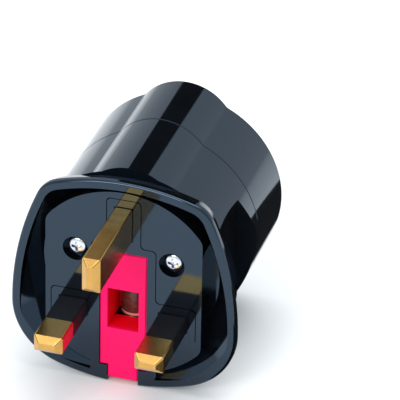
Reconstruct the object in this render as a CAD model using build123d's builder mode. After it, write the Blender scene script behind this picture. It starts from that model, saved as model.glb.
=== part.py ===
from build123d import *
import os

# Travel adapter: three flat pins on a rounded plug face, a round body with a finger grip on each side,
# and a recessed round socket with side earth clips at the rear.
# X runs to the right as the pin face is looked at, Y from the pin face towards the socket, Z up towards
# the earth pin. The origin is on the pin face, on the axis of the round socket. Sizes are in millimetres.

# Plug face and flange
FLANGE_THICKNESS = 4.0
FLANGE_TOP = 23.5
FLANGE_DROP = 26.5
FLANGE_HALF_WIDTH = 25.2
FLANGE_WIDEST_Z = -10.0
FLANGE_TOP_ARC = 50.0
FLANGE_BOTTOM_ARC = 48.9
FLANGE_SIDE_ARC = 68.0
FLANGE_TOP_CORNER = 6.5
FLANGE_BOTTOM_CORNER = 15.0
FLANGE_EDGE_ROUND = 0.6
FLANGE_LAND = 1.4
FLANGE_DRAFT = 0.9
RIM_WIDTH = 1.9
NECK_RADIUS = 24.0
NECK_LENGTH = 2.5
GROOVE_DEPTH = 5.5
GROOVE_CONE_FRONT = 26.5
GROOVE_CONE_SLOPE = 1.25
WEB_THICKNESS = 2.0

# Raised island inside the groove, and the T-shaped pin carrier let into it
ISLAND_HALF_WIDTH = 17.4
ISLAND_TOP_ARC = 21.2
ISLAND_BOTTOM_ARC = 23.0
ISLAND_CORNER = 3.0
ISLAND_WALL = 2.0
ISLAND_CAVITY_ARC = 20.0
PLATE_THICKNESS = 3.6
CARRIER_STEM_HALF = 3.9
CARRIER_STEM_TOP = 19.6
CARRIER_WAIST_HALF = 7.3
CARRIER_WAIST_TOP = 8.3
CARRIER_WING_HALF = 16.25
CARRIER_WING_TOP = -4.5
CARRIER_WING_BOTTOM = -12.4
CARRIER_CORNER = 1.0
CARRIER_SEAM = 0.18
CARRIER_BACK_THICKNESS = 2.4

# Pins
PIN_SPACING = 22.22
PIN_DROP = 8.6
EARTH_RISE = 22.23
LINE_PIN_WIDTH = 6.35
LINE_PIN_HEIGHT = 3.97
LINE_PIN_REACH = 17.7
EARTH_PIN_WIDTH = 3.97
EARTH_PIN_HEIGHT = 7.95
EARTH_PIN_REACH = 22.73
PIN_BEVEL = 1.3
PIN_CORNER = 0.4
PIN_MOUTH_GAP = 0.18
PIN_MOUTH_DEPTH = 0.4
SLEEVE_REACH = 9.5
SLEEVE_WALL = 0.6
SLEEVE_SEAT = 3.0
PIN_BOSS_WALL = 1.5
PIN_BOSS_LENGTH = 3.0
EARTH_SHANK = 3.4
RIVET_DIAMETER = 2.6
RIVET_HEAD = 0.5

# Round body and its top and bottom lobes
BODY_RADIUS = 22.3
LOBE_REACH = 25.0
LOBE_RADIUS = 11.5
LOBE_BLEND = 2.0
SPIGOT_LENGTH = 1.6
JOINT_CHAMFER = 0.2
WALL = 2.2
CAVITY_HALF_WIDTH = 16.8
FIT_GAP = 0.15

# Finger grips
GRIP_FLOOR = 18.95
GRIP_HOLLOW = 0.3
GRIP_FRONT = 6.5
GRIP_RISE = 5.2
GRIP_JOINT_GAP = 0.3
GRIP_FRONT_ROUND = 0.8
GRIP_MARGIN = 3.0
GRIP_HALF_HEIGHT = 16.0

# Assembly screws
SCREW_X = 10.7
SCREW_Z = 5.6
SCREW_HEAD = 4.4
SCREW_HEAD_HEIGHT = 1.6
SCREW_SUNK = 0.8
SCREW_SHANK = 2.9
SCREW_LENGTH = 17.2
SCREW_CROSS_WIDTH = 0.7
SCREW_CROSS_LENGTH = 2.8
SCREW_CROSS_DEPTH = 0.9
SCREW_HEAD_BEVEL = 0.5
SCREW_HOLE = 5.7
SCREW_PASSAGE = 3.1
SCREW_BOSS = 4.8
SCREW_BORE_SPARE = 1.0

# Fuse and its pull-out carrier
FUSE_AXIS_DEPTH = 9.0
FUSE_CENTRE_Z = -6.6
FUSE_LENGTH = 25.4
FUSE_DIAMETER = 6.35
FUSE_CAP_LENGTH = 6.5
FUSE_CAP_WALL = 0.35
FUSE_TUBE_DIAMETER = 6.0
FUSE_BORE = 3.6
FUSE_WIRE = 0.4
DRAWER_HALF_WIDTH = 5.2
DRAWER_TOP = 6.4
DRAWER_SHOULDER = -22.2
DRAWER_THICKNESS = 5.6
DRAWER_GAP = 0.1
DRAWER_CHAMFER = 0.3
TONGUE_HALF_WIDTH = 3.4
TONGUE_END = -25.3
TONGUE_THICKNESS = 2.6
WINDOW_HALF_WIDTH = 3.5
WINDOW_HEIGHT = 9.9
CRADLE_HALF_WIDTH = 4.5
CRADLE_END_GAP = 0.15
CRADLE_DEPTH = 10.6
CRADLE_CLEARANCE = 0.1
CHAMBER_HALF_WIDTH = 4.6
CHAMBER_PLAY_BELOW = 0.5
CHAMBER_PLAY_ABOVE = 0.3
CHAMBER_WALL = 1.0
CHAMBER_BACK = 12.95
CHAMBER_BACK_WALL = 1.25
CLIP_GAP = 0.05
CLIP_THICKNESS = 0.5
CLIP_LENGTH = 4.4
CLIP_FRONT = 6.6
CLIP_FLARE = 0.6
CLIP_BEND = 0.6
CLIP_STEM = 2.0

# Socket at the rear
RECESS_RADIUS = 19.5
RECESS_DEPTH = 17.5
FLOOR_THICKNESS = 2.1
SOCKET_SPACING = 19.0
SOCKET_HOLE = 5.6
SOCKET_HOLE_CHAMFER = 0.5
GUIDE_WIDTH = 4.4
GUIDE_HEIGHT = 1.9
GUIDE_END_GAP = 0.8
CLIP_POCKET_HALF_WIDTH = 3.8
CLIP_POCKET_WALL = 2.5
CLIP_POCKET_INNER = 16.5
CLIP_POCKET_END_WALL = 2.0
RIM_ROUND = 0.5
RECESS_CHAMFER = 0.4

# Contacts
CONTACT_BORE = 4.9
CONTACT_WALL = 0.4
CONTACT_LENGTH = 10.5
CONTACT_SLIT_LENGTH = 4.0
CONTACT_SLIT_WIDTH = 0.6
LINK_WIDTH = 4.0
LINK_THICKNESS = 0.6
STRAP_WIDTH = 6.0
STRAP_THICKNESS = 0.8
STRAP_LINK_GAP = 2.1
STRAP_ARM_INSET = 2.8
STRAP_SWELL_START = 5.0
STRAP_SWELL_CREST = 11.5
STRAP_SWELL_END = 14.7
STRAP_SWELL_HEIGHT = 3.0
STRAP_TIP_INSET = 0.6
STRAP_BEND = 1.0
STRAP_SLOT_GAP = 0.2
CONTACT_PLATE_THICKNESS = 2.3

# Shutter behind the socket floor
SHUTTER_SPACE = 4.4
SHUTTER_HALF_WIDTH = 12.8
SHUTTER_TOP = 3.0
SHUTTER_BOTTOM = -3.4
SHUTTER_GAP = 0.15
SHUTTER_RAMP_EDGE = 0.9
SHUTTER_RAMP_WIDTH = 6.4
SHUTTER_RAMP_LIP = 0.5
SHUTTER_GUIDE_THICKNESS = 1.4
SHUTTER_GUIDE_TOP = 8.0
SHUTTER_GUIDE_BOTTOM = -13.0
SPRING_DIAMETER = 3.6
SPRING_WIRE = 0.45
SPRING_TURNS = 7
SPRING_SEAT_Z = -15.8
SPRING_SEAT_HEIGHT = 1.2
SPRING_SEAT_HALF_WIDTH = 2.4
SPRING_PEG = 2.4
SPRING_PEG_LENGTH = 1.2

# Sizes that follow from the ones above
line_pin_x = PIN_SPACING / 2
earth_pin_z = EARTH_RISE - PIN_DROP
fuse_low = FUSE_CENTRE_Z - FUSE_LENGTH / 2
fuse_high = FUSE_CENTRE_Z + FUSE_LENGTH / 2
contact_x = SOCKET_SPACING / 2
contact_outer = CONTACT_BORE / 2 + CONTACT_WALL
web_back = GROOVE_DEPTH + WEB_THICKNESS
carrier_back = PLATE_THICKNESS + CARRIER_BACK_THICKNESS
link_front = CHAMBER_BACK + CHAMBER_BACK_WALL
chamber_low = fuse_low - CHAMBER_PLAY_BELOW
chamber_high = fuse_high + CHAMBER_PLAY_ABOVE
link_back = link_front + LINK_THICKNESS
strap_front = link_back + STRAP_LINK_GAP
contact_plate_front = strap_front + STRAP_THICKNESS
contact_plate_back = contact_plate_front + CONTACT_PLATE_THICKNESS
contact_front = contact_plate_back - CONTACT_LENGTH
floor_back = contact_plate_back + SHUTTER_SPACE
floor_face = floor_back + FLOOR_THICKNESS
joint_depth = floor_back + SPIGOT_LENGTH
body_length = floor_face + RECESS_DEPTH
grip_rear = joint_depth - GRIP_JOINT_GAP
grip_flat_end = grip_rear - GRIP_RISE
strap_arm_z = LOBE_REACH - WALL - STRAP_ARM_INSET
strap_points = (
    (floor_face + STRAP_SWELL_END, strap_arm_z - STRAP_TIP_INSET),
    (floor_face + STRAP_SWELL_CREST, strap_arm_z - STRAP_SWELL_HEIGHT),
    (floor_face + STRAP_SWELL_START, strap_arm_z),
    (strap_front + STRAP_THICKNESS / 2, strap_arm_z),
)
strap_slot_width = STRAP_WIDTH + 2 * STRAP_SLOT_GAP
strap_slot_height = STRAP_THICKNESS + 2 * STRAP_SLOT_GAP
chamber_front = DRAWER_THICKNESS + DRAWER_GAP
cradle_top = fuse_high - FUSE_CAP_LENGTH - CRADLE_END_GAP
cradle_bottom = fuse_low + FUSE_CAP_LENGTH + CRADLE_END_GAP
window_top = cradle_bottom + WINDOW_HEIGHT
upper_clip_z = fuse_high - FUSE_CAP_LENGTH / 2
lower_clip_z = fuse_low + FUSE_CAP_LENGTH / 2
screw_seat = SCREW_SUNK + SCREW_HEAD_HEIGHT
screw_end = SCREW_SUNK + SCREW_LENGTH
screw_bore_end = screw_end + SCREW_BORE_SPARE
screw_places = ((-SCREW_X, SCREW_Z), (SCREW_X, SCREW_Z))
line_pin_places = ((-line_pin_x, -PIN_DROP), (line_pin_x, -PIN_DROP))
mouth_growth = 2 * PIN_MOUTH_GAP
waist_width = LINE_PIN_WIDTH - 2 * SLEEVE_WALL
waist_height = LINE_PIN_HEIGHT - 2 * SLEEVE_WALL
shutter_front = contact_plate_back + SHUTTER_GAP
shutter_back = floor_back - SHUTTER_GAP
shutter_guide_x = SHUTTER_HALF_WIDTH + SHUTTER_GAP + SHUTTER_GUIDE_THICKNESS / 2
spring_depth = (contact_plate_back + floor_back) / 2
pocket_reach = LOBE_REACH - CLIP_POCKET_WALL
pocket_end = body_length - CLIP_POCKET_END_WALL

os.makedirs("parts", exist_ok=True)


def across(depth):
    """The plane across the adapter at a depth behind the pin face, with local x = X and local y = Z."""
    return Plane.XZ.offset(-depth)


def flange_outline(inset):
    """Four shallow arcs with rounded corners, widest low down and narrower at the top."""
    with BuildSketch(across(0)) as outline:
        with Locations((0, FLANGE_TOP - FLANGE_TOP_ARC)):
            Circle(FLANGE_TOP_ARC - inset)
        with Locations((0, FLANGE_BOTTOM_ARC - FLANGE_DROP)):
            Circle(FLANGE_BOTTOM_ARC - inset, mode=Mode.INTERSECT)
        for side in (-1, 1):
            with Locations((side * (FLANGE_HALF_WIDTH - FLANGE_SIDE_ARC), FLANGE_WIDEST_Z)):
                Circle(FLANGE_SIDE_ARC - inset, mode=Mode.INTERSECT)
        fillet(outline.vertices().group_by(Axis.Y)[-1], FLANGE_TOP_CORNER - inset)
        fillet(outline.vertices().group_by(Axis.Y)[0], FLANGE_BOTTOM_CORNER - inset)
    return outline.sketch_local


def body_outline(inset, half_width=BODY_RADIUS):
    """A circle with a lobe at the top and at the bottom, and flat sides where a half width asks for them."""
    with BuildSketch(across(0)) as outline:
        Circle(BODY_RADIUS - inset)
        with Locations((0, LOBE_REACH - LOBE_RADIUS), (0, LOBE_RADIUS - LOBE_REACH)):
            Circle(LOBE_RADIUS - inset)
        fillet(outline.vertices(), LOBE_BLEND + inset)
        if half_width < BODY_RADIUS:
            Rectangle(2 * half_width, 4 * LOBE_REACH, mode=Mode.INTERSECT)
    return outline.sketch_local


def island_outline(inset):
    """Flat sides between a smaller arc on top and a larger one below."""
    with BuildSketch(across(0)) as outline:
        Circle(ISLAND_BOTTOM_ARC - inset)
        Rectangle(
            4 * ISLAND_BOTTOM_ARC,
            2 * ISLAND_BOTTOM_ARC,
            align=(Align.CENTER, Align.MAX),
            mode=Mode.INTERSECT,
        )
        Circle(ISLAND_TOP_ARC - inset)
        Rectangle(2 * (ISLAND_HALF_WIDTH - inset), 4 * ISLAND_BOTTOM_ARC, mode=Mode.INTERSECT)
        fillet(outline.vertices(), ISLAND_CORNER - inset)
    return outline.sketch_local


def carrier_front_outline(gap):
    """The T-shaped face of the pin carrier; the gap narrows it everywhere but along its bottom edge."""
    stem = CARRIER_STEM_HALF - gap
    waist = CARRIER_WAIST_HALF - gap
    wing = CARRIER_WING_HALF - gap
    with BuildSketch(across(0)) as outline:
        with BuildLine():
            Polyline(
                (0, CARRIER_STEM_TOP - gap),
                (stem, CARRIER_STEM_TOP - gap),
                (stem, CARRIER_WAIST_TOP - gap),
                (waist, CARRIER_WAIST_TOP - gap),
                (waist, CARRIER_WING_TOP - gap),
                (wing, CARRIER_WING_TOP - gap),
                (wing, CARRIER_WING_BOTTOM),
                (0, CARRIER_WING_BOTTOM),
                close=True,
            )
        make_face()
        mirror(about=Plane.YZ)
        above_bottom = outline.vertices().filter_by(lambda v: v.Y > CARRIER_WING_TOP - CARRIER_CORNER)
        fillet(above_bottom, CARRIER_CORNER)
    return outline


def island_cavity(gap):
    """The island less its wall, held inside the body's own radius; the gap makes it smaller."""
    with BuildSketch(across(0)) as outline:
        add(island_outline(ISLAND_WALL + gap))
        Circle(ISLAND_CAVITY_ARC - gap, mode=Mode.INTERSECT)
    return outline.sketch_local


def chamber_rectangle(wall):
    """The fuse chamber's outline across the adapter, grown on every side by a wall."""
    with Locations((0, (chamber_low + chamber_high) / 2)):
        Rectangle(
            2 * (CHAMBER_HALF_WIDTH + wall),
            chamber_high - chamber_low + 2 * wall,
        )


# Slot that the fuse carrier's face block slides out of
with BuildPart() as drawer_slot:
    with BuildSketch(across(0)):
        with Locations((0, DRAWER_TOP + DRAWER_GAP)):
            Rectangle(
                2 * (DRAWER_HALF_WIDTH + DRAWER_GAP),
                DRAWER_TOP - DRAWER_SHOULDER + 2 * DRAWER_GAP,
                align=(Align.CENTER, Align.MAX),
            )
    extrude(amount=-chamber_front)

# Front housing: flange, neck and body front in one moulding, hollow behind the pin face
with BuildPart() as groove:
    with BuildSketch(across(0)):
        add(flange_outline(RIM_WIDTH))
        add(island_outline(0), mode=Mode.SUBTRACT)
        Rectangle(
            2 * CARRIER_WAIST_HALF,
            FLANGE_DROP,
            align=(Align.CENTER, Align.MAX),
            mode=Mode.SUBTRACT,
        )
    extrude(amount=-GROOVE_DEPTH)
    with Locations(across(0)):
        Cone(
            GROOVE_CONE_FRONT - GROOVE_CONE_SLOPE * GROOVE_DEPTH,
            GROOVE_CONE_FRONT,
            GROOVE_DEPTH,
            align=(Align.CENTER, Align.CENTER, Align.MAX),
            mode=Mode.INTERSECT,
        )

with BuildPart() as front_housing:
    with BuildSketch(across(0)):
        add(flange_outline(0))
    extrude(amount=-FLANGE_LAND)
    fillet(front_housing.faces().sort_by(Axis.Y)[0].edges(), FLANGE_EDGE_ROUND)
    with BuildSketch(across(FLANGE_LAND)):
        add(flange_outline(0))
    with BuildSketch(across(FLANGE_THICKNESS)):
        add(flange_outline(FLANGE_DRAFT))
    loft(ruled=True)
    with BuildSketch(across(FLANGE_THICKNESS)):
        add(body_outline(0))
    extrude(amount=-(joint_depth - FLANGE_THICKNESS))
    chamfer(front_housing.faces().sort_by(Axis.Y)[-1].edges(), JOINT_CHAMFER)
    with Locations(across(FLANGE_THICKNESS)):
        Cone(
            BODY_RADIUS,
            NECK_RADIUS,
            NECK_LENGTH,
            align=(Align.CENTER, Align.CENTER, Align.MAX),
        )
    add(groove.part, mode=Mode.SUBTRACT)
    # Finger grips, swept straight down each side
    with BuildSketch(Plane.XY.offset(-GRIP_HALF_HEIGHT)) as grip_profile:
        with BuildLine():
            ThreePointArc(
                (GRIP_FLOOR, GRIP_FRONT),
                (GRIP_FLOOR - GRIP_HOLLOW, (GRIP_FRONT + grip_flat_end) / 2),
                (GRIP_FLOOR, grip_flat_end),
            )
            TangentArc((BODY_RADIUS, grip_rear), (GRIP_FLOOR, grip_flat_end), tangent=(0, -1))
            Polyline(
                (BODY_RADIUS, grip_rear),
                (BODY_RADIUS + GRIP_MARGIN, grip_rear),
                (BODY_RADIUS + GRIP_MARGIN, GRIP_FRONT),
                (GRIP_FLOOR, GRIP_FRONT),
            )
        make_face()
        fillet(grip_profile.vertices().sort_by_distance((GRIP_FLOOR, GRIP_FRONT))[0], GRIP_FRONT_ROUND)
        mirror(about=Plane.YZ)
    extrude(amount=2 * GRIP_HALF_HEIGHT, mode=Mode.SUBTRACT)
    # Hollow inside: narrow in the island, wider behind the web
    with BuildSketch(across(PLATE_THICKNESS)):
        add(island_cavity(0))
    extrude(amount=-(web_back - PLATE_THICKNESS), mode=Mode.SUBTRACT)
    with BuildSketch(across(web_back)):
        add(body_outline(WALL, CAVITY_HALF_WIDTH))
    extrude(amount=-(joint_depth - web_back), mode=Mode.SUBTRACT)
    # Opening for the pin carrier, slot and notch for the fuse carrier, passage for its chamber
    with BuildSketch(across(0)):
        add(carrier_front_outline(0).sketch_local)
    extrude(amount=-PLATE_THICKNESS, mode=Mode.SUBTRACT)
    add(drawer_slot.part, mode=Mode.SUBTRACT)
    with BuildSketch(across(0)):
        with Locations((0, DRAWER_SHOULDER)):
            Rectangle(
                2 * (TONGUE_HALF_WIDTH + DRAWER_GAP),
                FLANGE_DROP,
                align=(Align.CENTER, Align.MAX),
            )
    extrude(amount=-(TONGUE_THICKNESS + DRAWER_GAP), mode=Mode.SUBTRACT)
    with BuildSketch(across(PLATE_THICKNESS)):
        chamber_rectangle(CHAMBER_WALL + FIT_GAP)
    extrude(amount=-(web_back - PLATE_THICKNESS), mode=Mode.SUBTRACT)
    # Screw holes, wide for the heads and narrow for the shanks
    with Locations(across(0)):
        with Locations(*screw_places):
            CounterBoreHole(SCREW_PASSAGE / 2, SCREW_HOLE / 2, screw_seat, PLATE_THICKNESS)
front_housing.part.label = "front_housing"
export_step(front_housing.part, "parts/front_housing.step")

# Pin carrier: the T-shaped insert that holds the three pins, with the fuse chamber behind it
with BuildPart() as pin_carrier:
    with BuildSketch(across(0)):
        add(carrier_front_outline(CARRIER_SEAM).sketch_local)
    extrude(amount=-PLATE_THICKNESS)
    with BuildSketch(across(PLATE_THICKNESS)):
        add(island_cavity(FIT_GAP))
    extrude(amount=-CARRIER_BACK_THICKNESS)
    with BuildSketch(across(carrier_back)):
        with Locations(*line_pin_places):
            Rectangle(waist_width + 2 * PIN_BOSS_WALL, waist_height + 2 * PIN_BOSS_WALL)
    extrude(amount=-PIN_BOSS_LENGTH)
    with BuildSketch(across(chamber_front)):
        chamber_rectangle(CHAMBER_WALL)
    extrude(amount=-(link_front - chamber_front))
    with BuildSketch(across(chamber_front)):
        chamber_rectangle(0)
    extrude(amount=-(CHAMBER_BACK - chamber_front), mode=Mode.SUBTRACT)
    add(drawer_slot.part, mode=Mode.SUBTRACT)
    # Pin seats, the stems of the fuse clips and the screw passages
    with BuildSketch(across(0)):
        with Locations(*line_pin_places):
            RectangleRounded(LINE_PIN_WIDTH, LINE_PIN_HEIGHT, PIN_CORNER)
    extrude(amount=-SLEEVE_SEAT, mode=Mode.SUBTRACT)
    with BuildSketch(across(0)):
        with Locations(*line_pin_places):
            Rectangle(waist_width, waist_height)
    extrude(amount=-(carrier_back + PIN_BOSS_LENGTH), mode=Mode.SUBTRACT)
    with BuildSketch(across(0)):
        with Locations(*line_pin_places):
            RectangleRounded(LINE_PIN_WIDTH + mouth_growth, LINE_PIN_HEIGHT + mouth_growth, PIN_CORNER)
        with Locations((0, earth_pin_z)):
            RectangleRounded(EARTH_PIN_WIDTH + mouth_growth, EARTH_PIN_HEIGHT + mouth_growth, PIN_CORNER)
    extrude(amount=-PIN_MOUTH_DEPTH, mode=Mode.SUBTRACT)
    with BuildSketch(across(0)):
        with Locations((0, earth_pin_z)):
            RectangleRounded(EARTH_PIN_WIDTH, EARTH_PIN_HEIGHT, PIN_CORNER)
    extrude(amount=-carrier_back, mode=Mode.SUBTRACT)
    with BuildSketch(across(CHAMBER_BACK)):
        with Locations((0, upper_clip_z), (0, lower_clip_z)):
            Circle(CLIP_STEM / 2)
    extrude(amount=-CHAMBER_BACK_WALL, mode=Mode.SUBTRACT)
    with BuildSketch(across(PLATE_THICKNESS)):
        with Locations(*screw_places):
            Circle(SCREW_PASSAGE / 2)
    extrude(amount=-CARRIER_BACK_THICKNESS, mode=Mode.SUBTRACT)
pin_carrier.part.label = "pin_carrier"
export_step(pin_carrier.part, "parts/pin_carrier.step")

# Line pins: flat brass with bevelled tips, a waist under the sleeve and a rivet at the inner end
for name, place in (("live_pin", line_pin_places[0]), ("neutral_pin", line_pin_places[1])):
    with BuildPart() as line_pin:
        with BuildSketch(across(-SLEEVE_REACH)):
            with Locations(place):
                RectangleRounded(LINE_PIN_WIDTH, LINE_PIN_HEIGHT, PIN_CORNER)
        extrude(amount=LINE_PIN_REACH - PIN_BEVEL - SLEEVE_REACH)
        with BuildSketch(across(PIN_BEVEL - LINE_PIN_REACH)):
            with Locations(place):
                RectangleRounded(LINE_PIN_WIDTH, LINE_PIN_HEIGHT, PIN_CORNER)
        with BuildSketch(across(-LINE_PIN_REACH)):
            with Locations(place):
                RectangleRounded(LINE_PIN_WIDTH - 2 * PIN_BEVEL, LINE_PIN_HEIGHT - 2 * PIN_BEVEL, PIN_CORNER)
        loft(ruled=True)
        with BuildSketch(across(-SLEEVE_REACH)):
            with Locations(place):
                Rectangle(waist_width, waist_height)
        extrude(amount=-(SLEEVE_REACH + link_front))
        with BuildSketch(across(link_front)):
            with Locations(place):
                Circle(CLIP_STEM / 2)
        extrude(amount=-LINK_THICKNESS)
    line_pin.part.label = name
    export_step(line_pin.part, f"parts/{name}.step")

# Insulating sleeves, flush with the brass in front of them
for name, place in (("live_sleeve", line_pin_places[0]), ("neutral_sleeve", line_pin_places[1])):
    with BuildPart() as sleeve:
        with BuildSketch(across(-SLEEVE_REACH)):
            with Locations(place):
                RectangleRounded(LINE_PIN_WIDTH, LINE_PIN_HEIGHT, PIN_CORNER)
                Rectangle(waist_width, waist_height, mode=Mode.SUBTRACT)
        extrude(amount=-(SLEEVE_REACH + SLEEVE_SEAT))
    sleeve.part.label = name
    export_step(sleeve.part, f"parts/{name}.step")

# Earth pin: longer, upright and bare, with a round shank riveted to the earth strap
with BuildPart() as earth_pin:
    with BuildSketch(across(PIN_BEVEL - EARTH_PIN_REACH)):
        with Locations((0, earth_pin_z)):
            RectangleRounded(EARTH_PIN_WIDTH, EARTH_PIN_HEIGHT, PIN_CORNER)
    extrude(amount=-(EARTH_PIN_REACH - PIN_BEVEL + carrier_back))
    with BuildSketch(across(PIN_BEVEL - EARTH_PIN_REACH)):
        with Locations((0, earth_pin_z)):
            RectangleRounded(EARTH_PIN_WIDTH, EARTH_PIN_HEIGHT, PIN_CORNER)
    with BuildSketch(across(-EARTH_PIN_REACH)):
        with Locations((0, earth_pin_z)):
            RectangleRounded(EARTH_PIN_WIDTH - 2 * PIN_BEVEL, EARTH_PIN_HEIGHT - 2 * PIN_BEVEL, PIN_CORNER)
    loft(ruled=True)
    with BuildSketch(across(carrier_back)):
        with Locations((0, earth_pin_z)):
            Circle(EARTH_SHANK / 2)
    extrude(amount=-(strap_front - carrier_back))
    with BuildSketch(across(strap_front)):
        with Locations((0, earth_pin_z)):
            Circle(RIVET_DIAMETER / 2)
    extrude(amount=-(STRAP_THICKNESS + RIVET_HEAD))
earth_pin.part.label = "earth_pin"
export_step(earth_pin.part, "parts/earth_pin.step")

# Fuse carrier: a face block with a window and a pull tongue, and a cradle that snaps round the fuse
with BuildPart() as fuse_carrier:
    with BuildSketch(across(0)):
        with Locations((0, DRAWER_TOP)):
            Rectangle(
                2 * DRAWER_HALF_WIDTH,
                DRAWER_TOP - DRAWER_SHOULDER,
                align=(Align.CENTER, Align.MAX),
            )
    extrude(amount=-DRAWER_THICKNESS)
    with BuildSketch(across(0)):
        with Locations((0, DRAWER_SHOULDER)):
            Rectangle(
                2 * TONGUE_HALF_WIDTH,
                DRAWER_SHOULDER - TONGUE_END,
                align=(Align.CENTER, Align.MAX),
            )
    extrude(amount=-TONGUE_THICKNESS)
    chamfer(fuse_carrier.faces().sort_by(Axis.Y)[0].edges(), DRAWER_CHAMFER)
    with BuildSketch(across(DRAWER_THICKNESS)):
        with Locations((0, cradle_top)):
            Rectangle(
                2 * CRADLE_HALF_WIDTH,
                cradle_top - cradle_bottom,
                align=(Align.CENTER, Align.MAX),
            )
    extrude(amount=-(CRADLE_DEPTH - DRAWER_THICKNESS))
    with BuildSketch(across(0)):
        with Locations((0, window_top)):
            Rectangle(
                2 * WINDOW_HALF_WIDTH,
                window_top - cradle_bottom,
                align=(Align.CENTER, Align.MAX),
            )
    extrude(amount=-FUSE_AXIS_DEPTH, mode=Mode.SUBTRACT)
    with BuildSketch(Plane.XY.offset(cradle_bottom)):
        with Locations((0, FUSE_AXIS_DEPTH)):
            Circle(FUSE_TUBE_DIAMETER / 2 + CRADLE_CLEARANCE)
    extrude(amount=cradle_top - cradle_bottom, mode=Mode.SUBTRACT)
fuse_carrier.part.label = "fuse_carrier"
export_step(fuse_carrier.part, "parts/fuse_carrier.step")

# Cartridge fuse: a ceramic tube with stepped ends, two metal caps and a fine wire between them
cap_inner = FUSE_DIAMETER / 2 - FUSE_CAP_WALL
with BuildPart() as fuse_body:
    with Locations((0, FUSE_AXIS_DEPTH, FUSE_CENTRE_Z)):
        Cylinder(cap_inner, FUSE_LENGTH - 2 * FUSE_CAP_WALL)
        Cylinder(FUSE_TUBE_DIAMETER / 2, FUSE_LENGTH - 2 * FUSE_CAP_LENGTH)
        Cylinder(FUSE_BORE / 2, FUSE_LENGTH, mode=Mode.SUBTRACT)
fuse_body.part.label = "fuse_body"
export_step(fuse_body.part, "parts/fuse_body.step")

with BuildPart() as fuse_wire:
    with Locations((0, FUSE_AXIS_DEPTH, FUSE_CENTRE_Z)):
        Cylinder(FUSE_WIRE / 2, FUSE_LENGTH - 2 * FUSE_CAP_WALL)
fuse_wire.part.label = "fuse_wire"
export_step(fuse_wire.part, "parts/fuse_wire.step")

for name, end, inward in (("fuse_cap_upper", fuse_high, -1), ("fuse_cap_lower", fuse_low, 1)):
    with BuildPart() as fuse_cap:
        with BuildSketch(Plane.XY.offset(end)):
            with Locations((0, FUSE_AXIS_DEPTH)):
                Circle(FUSE_DIAMETER / 2)
        extrude(amount=inward * FUSE_CAP_LENGTH)
        with BuildSketch(Plane.XY.offset(end + inward * FUSE_CAP_WALL)):
            with Locations((0, FUSE_AXIS_DEPTH)):
                Circle(cap_inner)
        extrude(amount=inward * FUSE_CAP_LENGTH, mode=Mode.SUBTRACT)
    fuse_cap.part.label = name
    export_step(fuse_cap.part, f"parts/{name}.step")

# Fuse clips: bent strip that grips a cap from behind, with a stem through the chamber's back wall
arm_x = FUSE_DIAMETER / 2 + CLIP_GAP + CLIP_THICKNESS / 2
clip_base = CHAMBER_BACK - CLIP_THICKNESS / 2
for name, clip_z in (("fuse_clip_upper", upper_clip_z), ("fuse_clip_lower", lower_clip_z)):
    with BuildPart() as fuse_clip:
        with BuildSketch(Plane.XY.offset(clip_z - CLIP_LENGTH / 2)):
            with BuildLine():
                FilletPolyline(
                    (-arm_x - CLIP_FLARE, CLIP_FRONT),
                    (-arm_x, CLIP_FRONT + 2 * CLIP_FLARE),
                    (-arm_x, clip_base),
                    (arm_x, clip_base),
                    (arm_x, CLIP_FRONT + 2 * CLIP_FLARE),
                    (arm_x + CLIP_FLARE, CLIP_FRONT),
                    radius=CLIP_BEND,
                )
            trace(line_width=CLIP_THICKNESS)
        extrude(amount=CLIP_LENGTH)
        with BuildSketch(across(CHAMBER_BACK)):
            with Locations((0, clip_z)):
                Circle(CLIP_STEM / 2)
        extrude(amount=-(CHAMBER_BACK_WALL + LINK_THICKNESS))
    fuse_clip.part.label = name
    export_step(fuse_clip.part, f"parts/{name}.step")

# Socket contacts: split brass tubes held in the contact plate
for name, side in (("live_contact", -1), ("neutral_contact", 1)):
    with BuildPart() as contact:
        with BuildSketch(across(contact_front)):
            with Locations((side * contact_x, 0)):
                Circle(contact_outer)
                Circle(CONTACT_BORE / 2, mode=Mode.SUBTRACT)
        extrude(amount=-(contact_plate_back - contact_front))
        with BuildSketch(across(contact_front)):
            with Locations((side * contact_x, 0)):
                Rectangle(4 * contact_outer, CONTACT_SLIT_WIDTH)
                Rectangle(CONTACT_SLIT_WIDTH, 4 * contact_outer)
        extrude(amount=-CONTACT_SLIT_LENGTH, mode=Mode.SUBTRACT)
    contact.part.label = name
    export_step(contact.part, f"parts/{name}.step")

# Link strips behind the fuse chamber: pin to fuse, fuse to live contact, and pin to neutral contact
links = (
    ("live_link", line_pin_places[0], (0, lower_clip_z)),
    ("contact_link", (0, upper_clip_z), (-contact_x, 0)),
    ("neutral_link", line_pin_places[1], (contact_x, 0)),
)
for name, start, finish in links:
    with BuildPart() as link:
        with BuildSketch(across(link_front)):
            with BuildLine():
                Line(start, finish)
            trace(line_width=LINK_WIDTH)
            with Locations(start, finish):
                Circle(LINK_WIDTH / 2)
            with Locations((-contact_x, 0), (contact_x, 0)):
                Circle(contact_outer, mode=Mode.SUBTRACT)
            with Locations(*line_pin_places, (0, upper_clip_z), (0, lower_clip_z)):
                Circle(CLIP_STEM / 2, mode=Mode.SUBTRACT)
        extrude(amount=-LINK_THICKNESS)
    link.part.label = name
    export_step(link.part, f"parts/{name}.step")

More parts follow.
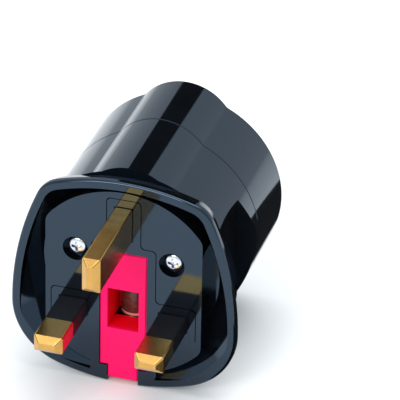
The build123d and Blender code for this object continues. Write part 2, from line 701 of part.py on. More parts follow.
# Earth strap: one strip across the contact plate whose two ends stand up as the side earth clips
with BuildPart() as earth_strap:
    with BuildSketch(Plane.YZ):
        with BuildLine():
            FilletPolyline(
                *strap_points,
                *((depth, -z) for depth, z in reversed(strap_points)),
                radius=STRAP_BEND,
            )
        trace(line_width=STRAP_THICKNESS)
    extrude(amount=STRAP_WIDTH / 2, both=True)
    with BuildSketch(across(strap_front)):
        with Locations((0, earth_pin_z)):
            Circle(RIVET_DIAMETER / 2)
    extrude(amount=-STRAP_THICKNESS, mode=Mode.SUBTRACT)
earth_strap.part.label = "earth_strap"
export_step(earth_strap.part, "parts/earth_strap.step")

# Contact plate: holds the contacts and the strap, and closes the shutter's space from the front
with BuildPart() as contact_plate:
    with BuildSketch(across(contact_plate_front)):
        add(body_outline(WALL + FIT_GAP, CAVITY_HALF_WIDTH - FIT_GAP))
        with Locations((-contact_x, 0), (contact_x, 0)):
            Circle(contact_outer, mode=Mode.SUBTRACT)
        with Locations(*screw_places):
            Circle(SCREW_BOSS / 2 + FIT_GAP, mode=Mode.SUBTRACT)
        with Locations((0, strap_arm_z), (0, -strap_arm_z)):
            Rectangle(strap_slot_width, strap_slot_height, mode=Mode.SUBTRACT)
    extrude(amount=-CONTACT_PLATE_THICKNESS)
    with BuildSketch(across(contact_plate_front)):
        with Locations((0, earth_pin_z)):
            Circle(EARTH_SHANK / 2)
    extrude(amount=-(RIVET_HEAD + FIT_GAP), mode=Mode.SUBTRACT)
contact_plate.part.label = "contact_plate"
export_step(contact_plate.part, "parts/contact_plate.step")


def is_hole_mouth(edge):
    """True for the edge of a pin hole on the floor of the recess."""
    on_floor = abs(edge.center().Y - floor_face) < SOCKET_HOLE_CHAMFER / 2
    return on_floor and abs(edge.radius - SOCKET_HOLE / 2) < SOCKET_HOLE_CHAMFER / 2


# Socket shell: round recess with side guides and clip pockets, and its floor, bosses and shutter guides
with BuildPart() as socket_shell:
    with BuildSketch(across(joint_depth)):
        add(body_outline(0))
    extrude(amount=-(body_length - joint_depth))
    chamfer(socket_shell.faces().sort_by(Axis.Y)[0].edges(), JOINT_CHAMFER)
    fillet(socket_shell.faces().sort_by(Axis.Y)[-1].edges(), RIM_ROUND)
    with BuildSketch(across(floor_back)):
        add(body_outline(WALL + FIT_GAP, CAVITY_HALF_WIDTH - FIT_GAP))
    extrude(amount=-(joint_depth - floor_back))
    with BuildSketch(across(floor_face)):
        Circle(RECESS_RADIUS)
    extrude(amount=-RECESS_DEPTH, mode=Mode.SUBTRACT)
    chamfer(socket_shell.faces().sort_by(Axis.Y)[-1].inner_wires().edges(), RECESS_CHAMFER)
    with BuildSketch(across(floor_face)):
        with Locations((RECESS_RADIUS, 0), (-RECESS_RADIUS, 0)):
            Rectangle(2 * GUIDE_HEIGHT, GUIDE_WIDTH)
        Circle(RECESS_RADIUS + GUIDE_HEIGHT / 2, mode=Mode.INTERSECT)
    extrude(amount=-(RECESS_DEPTH - GUIDE_END_GAP))
    with BuildSketch(across(floor_face)):
        for side in (-1, 1):
            with Locations((0, side * (CLIP_POCKET_INNER + pocket_reach) / 2)):
                Rectangle(2 * CLIP_POCKET_HALF_WIDTH, pocket_reach - CLIP_POCKET_INNER)
    extrude(amount=-(pocket_end - floor_face), mode=Mode.SUBTRACT)
    # Pin holes and strap slots through the floor
    with BuildSketch(across(floor_back)):
        with Locations((-contact_x, 0), (contact_x, 0)):
            Circle(SOCKET_HOLE / 2)
        with Locations((0, strap_arm_z), (0, -strap_arm_z)):
            Rectangle(strap_slot_width, strap_slot_height)
    extrude(amount=-FLOOR_THICKNESS, mode=Mode.SUBTRACT)
    hole_edges = socket_shell.edges().filter_by(GeomType.CIRCLE).filter_by(is_hole_mouth)
    chamfer(hole_edges, SOCKET_HOLE_CHAMFER)
    # Screw bosses reach forward to the pin carrier and clamp it
    with BuildSketch(across(carrier_back)):
        with Locations(*screw_places):
            Circle(SCREW_BOSS / 2)
    extrude(amount=-(floor_back - carrier_back))
    with BuildSketch(across(carrier_back)):
        with Locations(*screw_places):
            Circle(SCREW_SHANK / 2)
    extrude(amount=-(screw_bore_end - carrier_back), mode=Mode.SUBTRACT)
    # Shutter guides on both sides and the spring's seat below
    with BuildSketch(across(contact_plate_back)):
        for side in (-1, 1):
            with Locations((side * shutter_guide_x, (SHUTTER_GUIDE_TOP + SHUTTER_GUIDE_BOTTOM) / 2)):
                Rectangle(SHUTTER_GUIDE_THICKNESS, SHUTTER_GUIDE_TOP - SHUTTER_GUIDE_BOTTOM)
        with Locations((0, SPRING_SEAT_Z)):
            Rectangle(
                2 * SPRING_SEAT_HALF_WIDTH,
                SPRING_SEAT_HEIGHT,
                align=(Align.CENTER, Align.MAX),
            )
    extrude(amount=-(floor_back - contact_plate_back))
    with BuildSketch(Plane.XY.offset(SPRING_SEAT_Z)):
        with Locations((0, spring_depth)):
            Circle(SPRING_PEG / 2)
    extrude(amount=SPRING_PEG_LENGTH)
socket_shell.part.label = "socket_shell"
export_step(socket_shell.part, "parts/socket_shell.step")

# Shutter: a bar across both socket holes; its ramps turn the plug pins' push into a slide downwards
with BuildPart() as shutter:
    with BuildSketch(across(shutter_front)):
        with Locations((0, SHUTTER_TOP)):
            Rectangle(
                2 * SHUTTER_HALF_WIDTH,
                SHUTTER_TOP - SHUTTER_BOTTOM,
                align=(Align.CENTER, Align.MAX),
            )
    extrude(amount=-(shutter_back - shutter_front))
    for side in (-1, 1):
        with BuildSketch(Plane.YZ.offset(side * contact_x - SHUTTER_RAMP_WIDTH / 2)):
            with BuildLine():
                Polyline(
                    (shutter_front + SHUTTER_RAMP_EDGE, SHUTTER_TOP),
                    (shutter_back, SHUTTER_BOTTOM + SHUTTER_RAMP_LIP),
                    (shutter_back, SHUTTER_TOP),
                    close=True,
                )
            make_face()
        extrude(amount=SHUTTER_RAMP_WIDTH, mode=Mode.SUBTRACT)
    with BuildSketch(Plane.XY.offset(SHUTTER_BOTTOM)):
        with Locations((0, spring_depth)):
            Circle(SPRING_PEG / 2)
    extrude(amount=-SPRING_PEG_LENGTH)
shutter.part.label = "shutter"
export_step(shutter.part, "parts/shutter.step")

# Shutter spring: a plain coil between the seat and the shutter's lower edge
spring_length = SHUTTER_BOTTOM - SPRING_SEAT_Z
with BuildPart() as shutter_spring:
    with BuildLine() as coil:
        Helix(
            pitch=(spring_length - SPRING_WIRE) / SPRING_TURNS,
            height=spring_length - SPRING_WIRE,
            radius=(SPRING_DIAMETER - SPRING_WIRE) / 2,
            center=(0, spring_depth, SPRING_SEAT_Z + SPRING_WIRE / 2),
        )
    with BuildSketch(Plane(origin=coil.line @ 0, z_dir=coil.line % 0)):
        RegularPolygon(SPRING_WIRE / 2, 6)
    sweep(is_frenet=True)
shutter_spring.part.label = "shutter_spring"
export_step(shutter_spring.part, "parts/shutter_spring.step")

# Housing screws: round heads with a cross recess, sunk below the pin face
for name, place in zip(("housing_screw_left", "housing_screw_right"), screw_places):
    with BuildPart() as screw:
        with BuildSketch(across(SCREW_SUNK)):
            with Locations(place):
                Circle(SCREW_HEAD / 2)
        extrude(amount=-SCREW_HEAD_HEIGHT)
        chamfer(screw.edges().group_by(Axis.Y)[0], SCREW_HEAD_BEVEL)
        with BuildSketch(across(screw_seat)):
            with Locations(place):
                Circle(SCREW_SHANK / 2)
        extrude(amount=-(screw_end - screw_seat))
        with BuildSketch(across(SCREW_SUNK)):
            with Locations(place):
                Rectangle(SCREW_CROSS_LENGTH, SCREW_CROSS_WIDTH)
                Rectangle(SCREW_CROSS_WIDTH, SCREW_CROSS_LENGTH)
        extrude(amount=-SCREW_CROSS_DEPTH, mode=Mode.SUBTRACT)
    screw.part.label = name
    export_step(screw.part, f"parts/{name}.step")
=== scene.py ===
import math

import bmesh
import bpy
from bpy.props import FloatProperty, FloatVectorProperty, IntProperty, PointerProperty
from mathutils import Matrix, Vector


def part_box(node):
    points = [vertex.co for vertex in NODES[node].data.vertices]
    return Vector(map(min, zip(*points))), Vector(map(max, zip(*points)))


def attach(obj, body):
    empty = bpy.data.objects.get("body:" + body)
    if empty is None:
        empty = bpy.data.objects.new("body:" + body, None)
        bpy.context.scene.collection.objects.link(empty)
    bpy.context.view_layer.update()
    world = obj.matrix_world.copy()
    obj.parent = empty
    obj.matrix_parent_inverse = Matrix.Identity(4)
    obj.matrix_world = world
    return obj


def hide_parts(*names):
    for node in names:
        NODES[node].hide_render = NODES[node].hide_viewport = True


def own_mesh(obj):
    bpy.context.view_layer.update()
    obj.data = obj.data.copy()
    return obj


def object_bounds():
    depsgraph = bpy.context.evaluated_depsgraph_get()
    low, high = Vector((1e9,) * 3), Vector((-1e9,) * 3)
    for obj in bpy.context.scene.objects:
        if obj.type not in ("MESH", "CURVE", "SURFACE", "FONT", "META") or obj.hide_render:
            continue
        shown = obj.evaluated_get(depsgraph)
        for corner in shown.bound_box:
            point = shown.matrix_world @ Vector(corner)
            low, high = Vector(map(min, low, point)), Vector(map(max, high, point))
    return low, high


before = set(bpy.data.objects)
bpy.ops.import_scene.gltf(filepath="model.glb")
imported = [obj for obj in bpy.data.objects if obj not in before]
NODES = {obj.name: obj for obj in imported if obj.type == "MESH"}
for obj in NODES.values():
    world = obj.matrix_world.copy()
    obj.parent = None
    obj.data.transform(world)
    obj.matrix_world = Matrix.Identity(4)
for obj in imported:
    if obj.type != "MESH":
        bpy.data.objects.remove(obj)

bl_info = {
    "name": "Travel adapter",
    "version": (1, 0, 0),
    "blender": (4, 5, 0),
    "location": "View3D > Sidebar > Adapter",
    "description": "Finishes the mouldings, pins, fuse and screws of a travel adapter and sets its studio",
    "category": "Object",
}

MM = 0.001
CAD_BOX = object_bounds()

# Noise keeps mostly to this range
NOISE_LOW = 0.3
NOISE_HIGH = 0.7

# Least and greatest roughness, as shares of a material's own
PLASTIC_SPREAD = (0.8, 1.25)
METAL_SPREAD = (0.88, 1.18)

# Grains per metre
FLOW_GRAIN = 78
SKIN_GRAIN = 260
TARNISH_GRAIN = 420
DRAWN_GRAIN = 2500
PIN_GRAIN = 4500
ZINC_GRAIN = 1400
GLAZE_GRAIN = 900
FLOOR_GRAIN = 30
CARD_GRAIN = 12

# Drawn lines run along the axis that is squeezed here
LINES_ALONG_X = (0.15, 1, 1)
LINES_ALONG_Y = (1, 0.5, 1)
LINES_ALONG_Z = (1, 1, 0.2)
NO_LINES = (1, 1, 1)

# Colours of the plastics and metals that the sidebar doesn't list
SLEEVE_BLACK = (0.005, 0.005, 0.006)
PLATE_BLACK = (0.03, 0.03, 0.034)
SHUTTER_GREY = (0.022, 0.023, 0.026)
CAP_METAL = (0.82, 0.8, 0.76)
WIRE_METAL = (0.8, 0.8, 0.8)
STRIP_BRASS = (0.83, 0.62, 0.34)
ZINC = (0.70, 0.72, 0.78)
SPRING_STEEL = (0.62, 0.62, 0.64)

# Shine of the gloss black plastic
BLACK_TINT = (0.48, 0.71, 1.0, 1)
BLACK_IOR = 1.70

# The pink plastic turns to a deeper red between these depths behind its face
PINK_DEEP = (0.92, 0.0, 0.012, 1)
PINK_DEEP_START = 0.05 * MM
PINK_DEEP_END = 1.2 * MM

# Glaze of the fuse's tube
GLAZE_VARIATION = 0.25
GLAZE_ROUGHNESS = (0.18, 0.3)
GLAZE_RELIEF = 4e-6

# The pale ring printed round the fuse
RING_HEIGHT = -12.32 * MM
RING_HALF_WIDTH = 0.26 * MM
RING_COLOUR = (0.85, 0.40, 0.38, 1)

# Screw: the head's profile from its middle to its rim, as shares of its radius and its height
HEAD_PROFILE = (
    (0.35, 0.02),
    (0.6, 0.06),
    (0.8, 0.14),
    (0.93, 0.3),
    (1.0, 0.55),
    (1.0, 0.92),
    (0.97, 1.0),
)
HEAD_HEIGHT = 1.6 * MM
SCREW_SIDES = 48
THREAD_ROOT = 0.8
TIP_SHARE = 0.15
SMOOTH_ANGLE = math.radians(35)

# Cross recess of a screw
RECESS_ARM = 1.35 * MM
RECESS_HALF_WIDTH = 0.33 * MM
RECESS_CORNER = 1.25
RECESS_TOP = -0.4 * MM
RECESS_BOTTOM = 0.95 * MM
RECESS_TAPER = 0.62

# Spring
POINTS_PER_TURN = 24
WIRE_RESOLUTION = 3

# Studio
WORLD_COLOUR = (0.86, 0.94, 1.0, 1)
WORLD_STRENGTH = 0.85
FLOOR_REACH = 1.6
FLOOR_DARK = (0.90, 0.90, 0.90)
FLOOR_LIGHT = (0.93, 0.93, 0.93)
KEY_DIRECTION = (-0.24, -0.83, 0.60)
TOP_DIRECTION = (0.1, 0.2, 1.0)
STRIPE_DIRECTION = (-0.08, 0.83, 0.555)
STRIPE_DISTANCE = 0.8
NEAR_FLAG_PLACE = (0.065, 0.040, -0.025)
MATT_BLACK = (0.0, 0.0, 0.0)

# Camera, solved from the corners of the pins
CAMERA_LENS = 351.0
CAMERA_SENSOR = 36.0
CAMERA_TURNS = (16.5865, 30.7336, 1.2052)
CAMERA_PLACE = (215.4512, -667.6074, 436.9557)


class AdapterSizes(bpy.types.PropertyGroup):
    """Sizes of the pieces that are made here."""

    screw_head: FloatProperty(
        name="Screw head",
        description="Diameter of a housing screw's head",
        default=4.4 * MM,
        unit="LENGTH",
    )
    screw_shank: FloatProperty(
        name="Screw shank",
        description="Diameter of a housing screw's thread",
        default=2.9 * MM,
        unit="LENGTH",
    )
    screw_pitch: FloatProperty(
        name="Screw pitch",
        description="Distance from one turn of the thread to the next",
        default=1.1 * MM,
        unit="LENGTH",
    )
    spring_wire: FloatProperty(
        name="Spring wire",
        description="Diameter of the shutter spring's wire",
        default=0.45 * MM,
        unit="LENGTH",
    )
    spring_turns: IntProperty(
        name="Spring turns",
        description="Turns of the shutter spring",
        default=7,
        min=3,
    )


class AdapterColours(bpy.types.PropertyGroup):
    """Colours of the finishes."""

    black: FloatVectorProperty(
        name="Black plastic",
        description="Colour of the glossy mouldings",
        subtype="COLOR",
        default=(0.0024, 0.0030, 0.0042),
    )
    pink: FloatVectorProperty(
        name="Pink plastic",
        description="Colour of the fuse carrier",
        subtype="COLOR",
        default=(0.95, 0.006, 0.125),
    )
    brass: FloatVectorProperty(
        name="Brass",
        description="Colour of the pins",
        subtype="COLOR",
        default=(0.63, 0.355, 0.10),
    )
    ceramic: FloatVectorProperty(
        name="Ceramic",
        description="Colour of the fuse's glazed tube",
        subtype="COLOR",
        default=(0.11, 0.035, 0.028),
    )


def sizes():
    return bpy.context.scene.adapter_sizes


def colours():
    return bpy.context.scene.adapter_colours


def new_material(name):
    """An empty node material with a Principled shader, and the two of them with the node tree."""
    material = bpy.data.materials.new(name)
    material.use_nodes = True
    tree = material.node_tree
    tree.nodes.clear()
    output = tree.nodes.new("ShaderNodeOutputMaterial")
    shader = tree.nodes.new("ShaderNodeBsdfPrincipled")
    tree.links.new(shader.outputs["BSDF"], output.inputs["Surface"])
    return material, tree, shader


def grain(tree, scale, stretch=NO_LINES, detail=4.0):
    """Noise in a piece's own coordinates, in grains per metre, with a share of them along each axis."""
    place = tree.nodes.new("ShaderNodeTexCoord")
    mapping = tree.nodes.new("ShaderNodeMapping")
    mapping.inputs["Scale"].default_value = stretch
    noise = tree.nodes.new("ShaderNodeTexNoise")
    noise.inputs["Scale"].default_value = scale
    noise.inputs["Detail"].default_value = detail
    tree.links.new(place.outputs["Object"], mapping.inputs["Vector"])
    tree.links.new(mapping.outputs["Vector"], noise.inputs["Vector"])
    return noise


def spread(tree, source, low, high):
    """Maps a noise's usual range to low and high."""
    node = tree.nodes.new("ShaderNodeMapRange")
    node.inputs["From Min"].default_value = NOISE_LOW
    node.inputs["From Max"].default_value = NOISE_HIGH
    node.inputs["To Min"].default_value = low
    node.inputs["To Max"].default_value = high
    tree.links.new(source, node.inputs["Value"])
    return node.outputs["Result"]


def tint(tree, source, dark, light):
    """A colour between two, chosen by a noise."""
    ramp = tree.nodes.new("ShaderNodeValToRGB")
    ramp.color_ramp.elements[0].position = NOISE_LOW
    ramp.color_ramp.elements[0].color = (*dark, 1)
    ramp.color_ramp.elements[1].position = NOISE_HIGH
    ramp.color_ramp.elements[1].color = (*light, 1)
    tree.links.new(source, ramp.inputs["Fac"])
    return ramp.outputs["Color"]


def bump(tree, shader, source, height):
    """Fine relief of a height in metres."""
    node = tree.nodes.new("ShaderNodeBump")
    node.inputs["Strength"].default_value = 1.0
    node.inputs["Distance"].default_value = height
    tree.links.new(source, node.inputs["Height"])
    tree.links.new(node.outputs["Normal"], shader.inputs["Normal"])


def shade(values, factor):
    """Values such as a colour's channels, times a factor and 1 at most."""
    return tuple(min(1.0, value * factor) for value in values)


def moulded_plastic(name, colour, roughness, variation=0.15, relief=2e-6, ior=1.5, specular=0.5):
    """Injection-moulded plastic: faint colour flow, and a gloss that varies a little with the mould."""
    material, tree, shader = new_material(name)
    flow = grain(tree, FLOW_GRAIN)
    skin = grain(tree, SKIN_GRAIN, detail=2.0)
    dark, light = shade(colour, 1 - variation), shade(colour, 1 + variation)
    tree.links.new(tint(tree, flow.outputs["Fac"], dark, light), shader.inputs["Base Color"])
    tree.links.new(
        spread(tree, flow.outputs["Fac"], *shade(PLASTIC_SPREAD, roughness)),
        shader.inputs["Roughness"],
    )
    bump(tree, shader, skin.outputs["Fac"], relief)
    shader.inputs["IOR"].default_value = ior
    shader.inputs["Specular IOR Level"].default_value = specular
    return material


def machined_metal(name, colour, roughness, stretch, scale=DRAWN_GRAIN, relief=2e-6, tarnished=0.8):
    """Metal with fine drawn lines along one axis and slight tarnish."""
    material, tree, shader = new_material(name)
    tarnish = grain(tree, TARNISH_GRAIN, detail=5.0)
    lines = grain(tree, scale, stretch, detail=3.0)
    tree.links.new(
        tint(tree, tarnish.outputs["Fac"], shade(colour, tarnished), colour),
        shader.inputs["Base Color"],
    )
    tree.links.new(
        spread(tree, lines.outputs["Fac"], *shade(METAL_SPREAD, roughness)),
        shader.inputs["Roughness"],
    )
    bump(tree, shader, lines.outputs["Fac"], relief)
    shader.inputs["Metallic"].default_value = 1.0
    return material


def finish(node, material):
    """Puts a material on a CAD node."""
    data = NODES[node].data
    data.materials.clear()
    data.materials.append(material)


def new_piece(name, mesh, material, body, slot, *nodes):
    """Adds a finished mesh to the scene, on a body and in place of CAD nodes."""
    piece = bpy.data.objects.new(name, mesh)
    bpy.context.scene.collection.objects.link(piece)
    mesh.materials.append(material)
    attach(piece, body)
    if nodes:
        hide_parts(*nodes)
    return piece


def flat_mesh(name, half_width, half_height, level=0):
    """One flat rectangle round the origin, at a level along Z."""
    corners = ((-1, -1), (1, -1), (1, 1), (-1, 1))
    mesh = bpy.data.meshes.new(name)
    mesh.from_pydata([(x * half_width, y * half_height, level) for x, y in corners], [], [(0, 1, 2, 3)])
    return mesh


def join_rings(form, first, second):
    """Joins two rings of vertices with a band of faces."""
    count = len(first)
    for i in range(count):
        j = (i + 1) % count
        form.faces.new((first[i], second[i], second[j], first[j]))


def made_mesh(name, form):
    """The finished mesh of a form, with its faces turned outwards."""
    bmesh.ops.recalc_face_normals(form, faces=form.faces)
    mesh = bpy.data.meshes.new(name)
    form.to_mesh(mesh)
    form.free()
    return mesh


def turned_mesh(name, rows):
    """A mesh turned round the Y axis from rows of radius and depth."""
    form = bmesh.new()
    tip = form.verts.new((0, 0, 0))
    last = None
    for radius, depth in rows:
        angles = [2 * math.pi * i / SCREW_SIDES for i in range(SCREW_SIDES)]
        ring = [form.verts.new((radius * math.cos(a), depth, radius * math.sin(a))) for a in angles]
        if last is None:
            for i in range(SCREW_SIDES):
                form.faces.new((tip, ring[i], ring[(i + 1) % SCREW_SIDES]))
        else:
            join_rings(form, last, ring)
        last = ring
    form.faces.new(last)
    return made_mesh(name, form)


def carved_mesh(mesh, tool_mesh):
    """A mesh with the form of a tool cut out of it."""
    body = bpy.data.objects.new("screw_blank", mesh)
    tool = bpy.data.objects.new("screw_driver", tool_mesh)
    for part in (body, tool):
        bpy.context.scene.collection.objects.link(part)
    carve = body.modifiers.new("recess", "BOOLEAN")
    carve.operation = "DIFFERENCE"
    carve.object = tool
    carve.solver = "EXACT"
    made = evaluated_mesh(body)
    bpy.data.objects.remove(tool)
    return made


def evaluated_mesh(source):
    """The mesh that an object shows after its modifiers or bevels. The object is removed."""
    bpy.context.view_layer.update()
    graph = bpy.context.evaluated_depsgraph_get()
    made = bpy.data.meshes.new_from_object(source.evaluated_get(graph))
    bpy.data.objects.remove(source)
    return made


class ADAPTER_OT_mouldings(bpy.types.Operator):
    """Finishes the three black mouldings in glossy plastic"""

    bl_idname = "adapter.mouldings"
    bl_label = "Black mouldings"

    def execute(self, context):
        black = moulded_plastic("gloss_black_plastic", colours().black, roughness=0.08, ior=BLACK_IOR)
        shader = black.node_tree.nodes["Principled BSDF"]
        shader.inputs["Specular Tint"].default_value = BLACK_TINT
        for node in ("front_housing", "pin_carrier", "socket_shell"):
            finish(node, black)
        return {"FINISHED"}


class ADAPTER_OT_pins(bpy.types.Operator):
    """Finishes the brass pins and their insulating sleeves"""

    bl_idname = "adapter.pins"
    bl_label = "Pins and sleeves"

    def execute(self, context):
        brass = machined_metal(
            "drawn_brass",
            colours().brass,
            roughness=0.23,
            stretch=LINES_ALONG_Y,
            scale=PIN_GRAIN,
            relief=0.12e-6,
            tarnished=0.85,
        )
        for node in ("live_pin", "neutral_pin", "earth_pin"):
            finish(node, brass)
        sleeve = moulded_plastic("sleeve_plastic", SLEEVE_BLACK, roughness=0.42, specular=0.2)
        for node in ("live_sleeve", "neutral_sleeve"):
            finish(node, sleeve)
        return {"FINISHED"}


class ADAPTER_OT_fuse(bpy.types.Operator):
    """Finishes the pull-out carrier and the cartridge fuse in it"""

    bl_idname = "adapter.fuse"
    bl_label = "Fuse and carrier"

    def execute(self, context):
        pink = moulded_plastic(
            "pink_plastic",
            colours().pink,
            roughness=0.34,
            variation=0.05,
            specular=0.12,
        )
        self.redden_inside(pink.node_tree)
        finish("fuse_carrier", pink)
        finish("fuse_body", self.glazed_tube())
        caps = machined_metal("plated_cap", CAP_METAL, roughness=0.2, stretch=LINES_ALONG_Z)
        for node in ("fuse_cap_upper", "fuse_cap_lower"):
            finish(node, caps)
        wire = machined_metal("fuse_wire_metal", WIRE_METAL, roughness=0.3, stretch=LINES_ALONG_Z)
        finish("fuse_wire", wire)
        return {"FINISHED"}

    def redden_inside(self, tree):
        """Behind the face, light has come through the plastic, so its colour is a deeper red."""
        shader = tree.nodes["Principled BSDF"]
        face = shader.inputs["Base Color"].links[0].from_socket
        place = tree.nodes.new("ShaderNodeTexCoord")
        split = tree.nodes.new("ShaderNodeSeparateXYZ")
        tree.links.new(place.outputs["Object"], split.inputs["Vector"])
        depth = tree.nodes.new("ShaderNodeMapRange")
        depth.inputs["From Min"].default_value = PINK_DEEP_START
        depth.inputs["From Max"].default_value = PINK_DEEP_END
        tree.links.new(split.outputs["Y"], depth.inputs["Value"])
        mix = tree.nodes.new("ShaderNodeMix")
        mix.data_type = "RGBA"
        mix.inputs["B"].default_value = PINK_DEEP
        tree.links.new(depth.outputs["Result"], mix.inputs["Factor"])
        tree.links.new(face, mix.inputs["A"])
        tree.links.new(mix.outputs["Result"], shader.inputs["Base Color"])

    def glazed_tube(self):
        """Brown glazed ceramic with one pale ring printed round it."""
        material, tree, shader = new_material("glazed_ceramic")
        speckle = grain(tree, GLAZE_GRAIN, detail=6.0)
        dark = shade(colours().ceramic, 1 - GLAZE_VARIATION)
        light = shade(colours().ceramic, 1 + GLAZE_VARIATION)
        glaze = tint(tree, speckle.outputs["Fac"], dark, light)
        place = tree.nodes.new("ShaderNodeTexCoord")
        split = tree.nodes.new("ShaderNodeSeparateXYZ")
        tree.links.new(place.outputs["Object"], split.inputs["Vector"])
        ring = tree.nodes.new("ShaderNodeMath")
        ring.operation = "COMPARE"
        ring.inputs[1].default_value = RING_HEIGHT
        ring.inputs[2].default_value = RING_HALF_WIDTH
        tree.links.new(split.outputs["Z"], ring.inputs[0])
        mix = tree.nodes.new("ShaderNodeMix")
        mix.data_type = "RGBA"
        mix.inputs["B"].default_value = RING_COLOUR
        tree.links.new(ring.outputs["Value"], mix.inputs["Factor"])
        tree.links.new(glaze, mix.inputs["A"])
        tree.links.new(mix.outputs["Result"], shader.inputs["Base Color"])
        gloss = spread(tree, speckle.outputs["Fac"], *GLAZE_ROUGHNESS)
        tree.links.new(gloss, shader.inputs["Roughness"])
        bump(tree, shader, speckle.outputs["Fac"], GLAZE_RELIEF)
        return material


class ADAPTER_OT_contacts(bpy.types.Operator):
    """Finishes the contacts, links, clips, plate and shutter inside"""

    bl_idname = "adapter.contacts"
    bl_label = "Contacts and shutter"

    def execute(self, context):
        strip = machined_metal("rolled_brass", STRIP_BRASS, roughness=0.22, stretch=LINES_ALONG_X)
        for node in (
            "fuse_clip_upper",
            "fuse_clip_lower",
            "live_link",
            "contact_link",
            "neutral_link",
            "live_contact",
            "neutral_contact",
            "earth_strap",
        ):
            finish(node, strip)
        matt = moulded_plastic("matt_plate_plastic", PLATE_BLACK, roughness=0.5, relief=8e-6)
        finish("contact_plate", matt)
        grey = moulded_plastic("shutter_plastic", SHUTTER_GREY, roughness=0.38)
        finish("shutter", grey)
        return {"FINISHED"}


class ADAPTER_OT_screws(bpy.types.Operator):
    """Makes the housing screws with a cross recess and a thread"""

    bl_idname = "adapter.screws"
    bl_label = "Housing screws"

    def execute(self, context):
        zinc = machined_metal("zinc_plate", ZINC, roughness=0.16, stretch=NO_LINES, scale=ZINC_GRAIN)
        for node in ("housing_screw_left", "housing_screw_right"):
            low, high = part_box(node)
            mesh = self.screw_mesh(node.replace("housing_screw", "cross_screw"), low, high)
            new_piece(mesh.name, mesh, zinc, "adapter", "screw_zinc", node)
        return {"FINISHED"}

    def screw_mesh(self, name, low, high):
        """A domed head, a tapered cross recess, and a threaded shank turned along Y."""
        blank = turned_mesh(name, self.screw_rows(high.y - low.y))
        made = carved_mesh(blank, self.recess_mesh())
        made.name = name
        made.transform(Matrix.Translation(((low.x + high.x) / 2, low.y, (low.z + high.z) / 2)))
        made.shade_smooth()
        made.set_sharp_from_angle(angle=SMOOTH_ANGLE)
        return made

    def screw_rows(self, length):
        """The screw's profile as radius and depth, from the head to the tip."""
        head = sizes().screw_head / 2
        shank = sizes().screw_shank / 2
        pitch = sizes().screw_pitch
        rows = [(r * head, y * HEAD_HEIGHT) for r, y in HEAD_PROFILE]
        rows.append((shank, HEAD_HEIGHT))
        step = HEAD_HEIGHT
        while step < length - 2 * pitch:
            rows.append((shank * THREAD_ROOT, step + pitch * 0.25))
            rows.append((shank, step + pitch * 0.5))
            rows.append((shank * THREAD_ROOT, step + pitch * 0.75))
            step += pitch
        rows.append((shank * TIP_SHARE, length))
        return rows

    def recess_mesh(self):
        """The cross-shaped tool: four arms that taper towards the bottom of the recess."""
        form = bmesh.new()
        outline = []
        for quarter in range(4):
            turn = Matrix.Rotation(math.radians(90 * quarter), 3, "Y")
            for x, z in (
                (RECESS_ARM, RECESS_HALF_WIDTH),
                (RECESS_ARM, -RECESS_HALF_WIDTH),
                (RECESS_HALF_WIDTH * RECESS_CORNER, -RECESS_HALF_WIDTH),
            ):
                outline.append(turn @ Vector((x, 0, z)))
        top = [form.verts.new((p.x, RECESS_TOP, p.z)) for p in outline]
        low = [form.verts.new((p.x * RECESS_TAPER, RECESS_BOTTOM, p.z * RECESS_TAPER)) for p in outline]
        form.faces.new(top)
        form.faces.new(list(reversed(low)))
        join_rings(form, top, low)
        return made_mesh("screw_recess", form)


class ADAPTER_OT_spring(bpy.types.Operator):
    """Makes the round-wire spring behind the shutter"""

    bl_idname = "adapter.spring"
    bl_label = "Shutter spring"

    def execute(self, context):
        low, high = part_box("shutter_spring")
        mesh = self.coil_mesh(low, high)
        steel = machined_metal("spring_wire_steel", SPRING_STEEL, roughness=0.25, stretch=NO_LINES)
        spring = new_piece("return_spring", mesh, steel, "adapter", "spring_steel", "shutter_spring")
        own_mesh(spring)
        return {"FINISHED"}

    def coil_mesh(self, low, high):
        """A coil of round wire that fills the box from low to high."""
        wire = sizes().spring_wire / 2
        radius = (high.x - low.x) / 2 - wire
        middle = (low + high) / 2
        points = POINTS_PER_TURN * sizes().spring_turns
        curve = bpy.data.curves.new("spring_path", "CURVE")
        curve.dimensions = "3D"
        curve.bevel_depth = wire
        curve.bevel_resolution = WIRE_RESOLUTION
        curve.use_fill_caps = True
        coil = curve.splines.new("POLY")
        coil.points.add(points)
        for i, point in enumerate(coil.points):
            share = i / points
            angle = 2 * math.pi * sizes().spring_turns * share
            point.co = (
                middle.x + radius * math.cos(angle),
                middle.y + radius * math.sin(angle),
                low.z + wire + (high.z - low.z - 2 * wire) * share,
                1,
            )
        path = bpy.data.objects.new("spring_path", curve)
        bpy.context.scene.collection.objects.link(path)
        mesh = evaluated_mesh(path)
        mesh.name = "return_spring"
        mesh.shade_smooth()
        return mesh


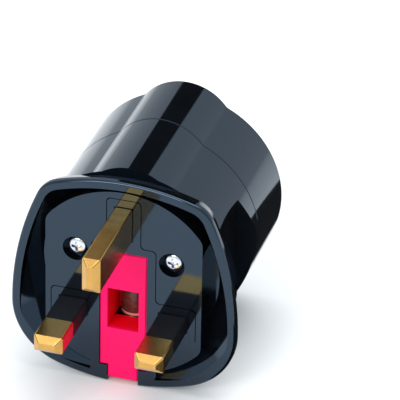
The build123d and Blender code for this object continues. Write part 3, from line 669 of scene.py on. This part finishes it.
class ADAPTER_OT_studio(bpy.types.Operator):
    """Sets the floor, the lamps and the camera"""

    bl_idname = "adapter.studio"
    bl_label = "Studio"

    def execute(self, context):
        self.surround()
        self.floor()
        self.lamps()
        self.camera()
        return {"FINISHED"}

    def surround(self):
        world = bpy.data.worlds.new("studio_surround")
        world.use_nodes = True
        background = world.node_tree.nodes["Background"]
        background.inputs["Color"].default_value = WORLD_COLOUR
        background.inputs["Strength"].default_value = WORLD_STRENGTH
        bpy.context.scene.world = world
        bpy.context.scene.view_settings.view_transform = "Standard"

    def floor(self):
        mesh = flat_mesh("studio_floor", FLOOR_REACH, FLOOR_REACH, CAD_BOX[0].z)
        floor = bpy.data.objects.new("studio_floor", mesh)
        bpy.context.scene.collection.objects.link(floor)
        material, tree, shader = new_material("floor_paint")
        specks = grain(tree, FLOOR_GRAIN)
        paint = tint(tree, specks.outputs["Fac"], FLOOR_DARK, FLOOR_LIGHT)
        tree.links.new(paint, shader.inputs["Base Color"])
        shader.inputs["Roughness"].default_value = 0.9
        shader.inputs["Specular IOR Level"].default_value = 0.0
        mesh.materials.append(material)

    def card(self, name, place, target, width, height):
        """A flat black card that only shows in reflections and faces the target."""
        mesh = flat_mesh(name, width / 2, height / 2)
        card = bpy.data.objects.new(name, mesh)
        bpy.context.scene.collection.objects.link(card)
        card.location = place
        card.rotation_mode = "QUATERNION"
        card.rotation_quaternion = (Vector(target) - Vector(place)).to_track_quat("Z", "Y")
        material, tree, shader = new_material(name + "_paint")
        weave = grain(tree, CARD_GRAIN)
        paint = tint(tree, weave.outputs["Fac"], MATT_BLACK, MATT_BLACK)
        tree.links.new(paint, shader.inputs["Base Color"])
        shader.inputs["Roughness"].default_value = 1.0
        mesh.materials.append(material)
        card.visible_camera = False
        card.visible_diffuse = False
        card.visible_shadow = False

    def lamp(self, name, direction, distance, width, height, power):
        """A rectangular lamp at a distance in metres from the object, of a power in watts."""
        light = bpy.data.lights.new(name, "AREA")
        light.shape = "RECTANGLE"
        light.size = width
        light.size_y = height
        light.energy = power
        lamp = bpy.data.objects.new(name, light)
        bpy.context.scene.collection.objects.link(lamp)
        middle = (CAD_BOX[0] + CAD_BOX[1]) / 2
        back = Vector(direction).normalized()
        lamp.location = middle + back * distance
        lamp.rotation_mode = "QUATERNION"
        lamp.rotation_quaternion = (-back).to_track_quat("-Z", "Y")

    def lamps(self):
        self.lamp("key_lamp", KEY_DIRECTION, distance=0.8, width=0.45, height=0.35, power=3.0)
        self.lamp("top_lamp", TOP_DIRECTION, distance=0.9, width=0.7, height=0.7, power=5.0)
        middle = (CAD_BOX[0] + CAD_BOX[1]) / 2
        stripe = middle + Vector(STRIPE_DIRECTION).normalized() * STRIPE_DISTANCE
        self.card("stripe_flag", stripe, middle, width=0.36, height=1.2)
        near = Vector(NEAR_FLAG_PLACE)
        self.card("near_flag", near, near + Vector((0, 0, 1)), width=0.090, height=0.140)

    def camera(self):
        data = bpy.data.cameras.new("photo_camera")
        data.lens = CAMERA_LENS
        data.sensor_width = CAMERA_SENSOR
        data.clip_start = 0.01
        data.clip_end = 20.0
        camera = bpy.data.objects.new("photo_camera", data)
        bpy.context.scene.collection.objects.link(camera)
        azimuth, elevation, roll = (math.radians(turn) for turn in CAMERA_TURNS)
        level = math.cos(elevation)
        back = Vector((math.sin(azimuth) * level, -math.cos(azimuth) * level, math.sin(elevation)))
        right = Vector((math.cos(azimuth), math.sin(azimuth), 0))
        up = back.cross(right)
        turned_right = math.cos(roll) * right + math.sin(roll) * up
        turned_up = -math.sin(roll) * right + math.cos(roll) * up
        pose = Matrix((turned_right, turned_up, back)).transposed().to_4x4()
        pose.translation = Vector(CAMERA_PLACE) * MM
        camera.matrix_world = pose
        bpy.context.scene.camera = camera


PIECES = (
    ADAPTER_OT_mouldings,
    ADAPTER_OT_pins,
    ADAPTER_OT_fuse,
    ADAPTER_OT_contacts,
    ADAPTER_OT_screws,
    ADAPTER_OT_spring,
    ADAPTER_OT_studio,
)


class ADAPTER_PT_sidebar(bpy.types.Panel):
    """Lists the adapter's pieces, sizes and colours"""

    bl_idname = "ADAPTER_PT_sidebar"
    bl_label = "Travel adapter"
    bl_space_type = "VIEW_3D"
    bl_region_type = "UI"
    bl_category = "Adapter"

    def draw(self, context):
        for piece in PIECES:
            self.layout.operator(piece.bl_idname)
        for group in (context.scene.adapter_sizes, context.scene.adapter_colours):
            box = self.layout.box()
            for name in group.__annotations__:
                box.prop(group, name)


CLASSES = (AdapterSizes, AdapterColours, *PIECES, ADAPTER_PT_sidebar)


def register():
    for item in CLASSES:
        bpy.utils.register_class(item)
    bpy.types.Scene.adapter_sizes = PointerProperty(type=AdapterSizes)
    bpy.types.Scene.adapter_colours = PointerProperty(type=AdapterColours)


def unregister():
    del bpy.types.Scene.adapter_sizes
    del bpy.types.Scene.adapter_colours
    for item in reversed(CLASSES):
        bpy.utils.unregister_class(item)


def main():
    register()
    bpy.ops.adapter.mouldings()
    bpy.ops.adapter.pins()
    bpy.ops.adapter.fuse()
    bpy.ops.adapter.contacts()
    bpy.ops.adapter.screws()
    bpy.ops.adapter.spring()
    bpy.ops.adapter.studio()


if __name__ == "__main__":
    main()
